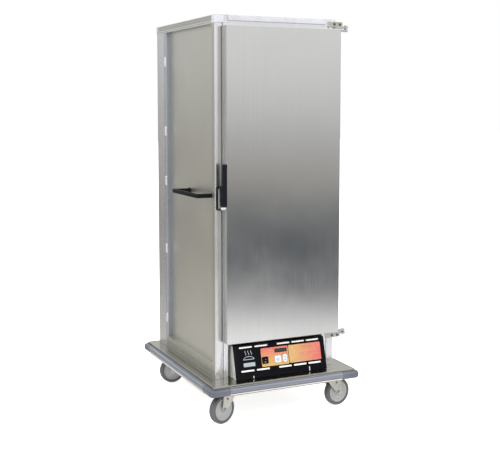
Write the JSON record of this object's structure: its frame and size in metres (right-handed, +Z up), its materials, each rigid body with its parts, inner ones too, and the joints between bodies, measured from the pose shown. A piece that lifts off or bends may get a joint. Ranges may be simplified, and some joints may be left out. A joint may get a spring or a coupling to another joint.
{
  "type": "proofing cabinet",
  "caption": "Tall metal proofing cabinet on casters with a full-length hinged door, tray slides, perimeter bumper and a slide-out heater and humidity module with sloping controls.",
  "frame": {"origin": "on the floor, under the middle of the bumper's outline", "axes": "+X to the right of someone facing the door, +Y from the door to the back, +Z up"},
  "size_m": [0.74, 0.9, 1.758],
  "materials": {
    "stainless": "brushed",
    "aluminium": "satin",
    "door_sheet": "brushed, fine horizontal grain",
    "bumper_rail": "satin",
    "bumper_corner": "smooth moulded",
    "black_plastic": "satin moulded",
    "black_paint": "gloss",
    "red_overlay": "printed film, red to orange",
    "green_display": "tinted window",
    "white_key": "satin film",
    "zinc": "zinc plated",
    "wheel_rubber": "matte",
    "seal_rubber": "matte",
    "heater_tube": "heat tinted"
  },
  "bodies": {
    "cabinet": {"base_pan": "stainless", "bumper_rail_front": "bumper_rail", "bumper_rail_rear": "bumper_rail", "bumper_rail_left": "bumper_rail", "bumper_rail_right": "bumper_rail", "bumper_corner_front_left": "bumper_corner", "bumper_corner_front_right": "bumper_corner", "bumper_corner_rear_left": "bumper_corner", "bumper_corner_rear_right": "bumper_corner", "post_front_left": "aluminium", "post_front_right": "aluminium", "post_rear_left": "aluminium", "post_rear_right": "aluminium", "top_frame": "aluminium", "roof_panel": "aluminium", "bottom_rail_left": "aluminium", "bottom_rail_right": "aluminium", "bottom_rail_rear": "aluminium", "side_panel_left": "stainless", "side_panel_right": "stainless", "back_panel": "stainless", "cord_gland": "black_plastic", "cabinet_floor": "stainless", "pan_rack_left": "stainless", "pan_rack_right": "stainless", "side_handle_left": "black_plastic", "side_handle_right": "black_plastic", "hinge_bracket_top": "zinc", "hinge_bracket_bottom": "zinc", "latch_strike": "black_plastic", "caster_plate_front_left": "zinc", "caster_plate_front_right": "zinc", "caster_plate_rear_left": "zinc", "caster_plate_rear_right": "zinc"},
    "door": {"door_outer_skin": "door_sheet", "door_inner_liner": "stainless", "door_gasket": "seal_rubber", "hinge_arm_top": "zinc", "hinge_arm_bottom": "zinc", "latch_body": "black_plastic"},
    "latch_lever": {"latch_lever": "black_plastic"},
    "module": {"module_housing": "stainless", "control_fascia": "black_paint", "control_overlay": "red_overlay", "display_window": "green_display", "blower_motor": "black_plastic", "heating_element": "heater_tube", "water_pan": "stainless"},
    "blower_wheel": {"blower_wheel": "zinc"},
    "square_key": {"square_key": "white_key"},
    "tall_key": {"tall_key": "white_key"},
    "power_rocker": {"power_rocker": "black_plastic"},
    "swivel_front_left": {"caster_fork_front_left": "zinc"},
    "wheel_front_left": {"caster_wheel_front_left": "wheel_rubber"},
    "swivel_front_right": {"caster_fork_front_right": "zinc"},
    "wheel_front_right": {"caster_wheel_front_right": "wheel_rubber"},
    "swivel_rear_left": {"caster_fork_rear_left": "zinc"},
    "wheel_rear_left": {"caster_wheel_rear_left": "wheel_rubber"},
    "swivel_rear_right": {"caster_fork_rear_right": "zinc"},
    "wheel_rear_right": {"caster_wheel_rear_right": "wheel_rubber"}
  },
  "joints": [
    {"name": "door_hinge", "type": "hinge", "parent": "cabinet", "child": "door", "pos_m": [0.328, -0.355, 1.031], "axis": [0, 0, 1], "range_deg": [0, 180]},
    {"name": "latch_lever_pull", "type": "hinge", "parent": "door", "child": "latch_lever", "pos_m": [-0.268, -0.3615, 1.034], "axis": [1, 0, 0], "range_deg": [0, 30], "stiffness_Nm_per_rad": 0.3, "springref_deg": -9.74},
    {"name": "module_slide", "type": "slide", "parent": "cabinet", "child": "module", "axis": [0, -1, 0], "range_m": [0, 0.3]},
    {"name": "blower_spin", "type": "hinge", "parent": "module", "child": "blower_wheel", "pos_m": [-0.145, -0.095, 0.2308], "axis": [0, 0, 1], "continuous": true},
    {"name": "square_key_press", "type": "slide", "parent": "module", "child": "square_key", "axis": [0, 0.9665, -0.2568], "range_m": [0, 0.0008], "stiffness_N_per_m": 900, "springref_m": -0.0004},
    {"name": "tall_key_press", "type": "slide", "parent": "module", "child": "tall_key", "axis": [0, 0.9665, -0.2568], "range_m": [0, 0.0008], "stiffness_N_per_m": 900, "springref_m": -0.0004},
    {"name": "power_rocker_turn", "type": "hinge", "parent": "module", "child": "power_rocker", "pos_m": [-0.0735, -0.36071, 0.24782], "axis": [1, 0, 0], "range_deg": [-20, 0]},
    {"name": "caster_swivel_front_left", "type": "hinge", "parent": "cabinet", "child": "swivel_front_left", "pos_m": [-0.262, -0.372, 0.13], "axis": [0, 0, 1], "continuous": true},
    {"name": "wheel_spin_front_left", "type": "hinge", "parent": "swivel_front_left", "child": "wheel_front_left", "pos_m": [-0.29037, -0.38177, 0.06319], "axis": [0.3256, -0.9455, 0], "continuous": true},
    {"name": "caster_swivel_front_right", "type": "hinge", "parent": "cabinet", "child": "swivel_front_right", "pos_m": [0.262, -0.372, 0.13], "axis": [0, 0, 1], "continuous": true},
    {"name": "wheel_spin_front_right", "type": "hinge", "parent": "swivel_front_right", "child": "wheel_front_right", "pos_m": [0.29178, -0.36834, 0.06319], "axis": [-0.1219, 0.9925, 0], "continuous": true},
    {"name": "caster_swivel_rear_left", "type": "hinge", "parent": "cabinet", "child": "swivel_rear_left", "pos_m": [-0.246, 0.278, 0.13], "axis": [0, 0, 1], "continuous": true},
    {"name": "wheel_spin_rear_left", "type": "hinge", "parent": "swivel_rear_left", "child": "wheel_rear_left", "pos_m": [-0.27599, 0.27748, 0.06319], "axis": [0.0175, -0.9998, 0], "continuous": true},
    {"name": "caster_swivel_rear_right", "type": "hinge", "parent": "cabinet", "child": "swivel_rear_right", "pos_m": [0.246, 0.278, 0.13], "axis": [0, 0, 1], "continuous": true},
    {"name": "wheel_spin_rear_right", "type": "hinge", "parent": "swivel_rear_right", "child": "wheel_rear_right", "pos_m": [0.27341, 0.2902, 0.06319], "axis": [-0.4067, 0.9135, 0], "continuous": true}
  ]
}
